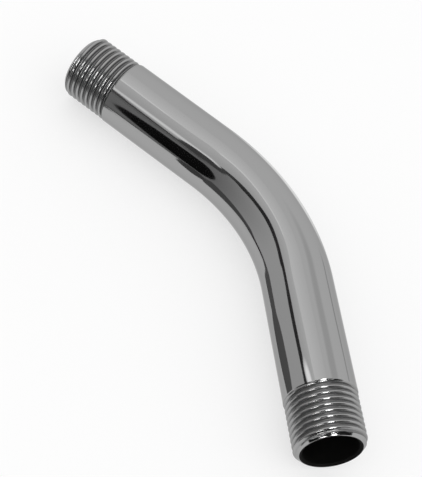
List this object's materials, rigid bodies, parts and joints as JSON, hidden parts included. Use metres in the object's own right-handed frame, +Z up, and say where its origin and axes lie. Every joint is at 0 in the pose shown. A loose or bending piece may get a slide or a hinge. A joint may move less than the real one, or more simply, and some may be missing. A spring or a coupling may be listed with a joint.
{
  "type": "shower arm",
  "caption": "Bent chrome-plated tube that carries water from a wall outlet to a shower head, with a male pipe thread on each end.",
  "frame": {"origin": "on the inlet leg's axis at the inner end of the inlet thread, which is the wall plane when the arm is screwed in", "axes": "+X out of the wall along the inlet leg, so the inlet thread points along -X; +Z up, square to the bend plane, as the arm lies on its side; the outlet leg bends towards -Y"},
  "size_m": [0.1446, 0.0755, 0.0212],
  "materials": {
    "chrome_plate": "polished chrome plate on brass"
  },
  "bodies": {
    "root": {"shower_arm": "chrome_plate"}
  },
  "joints": []
}
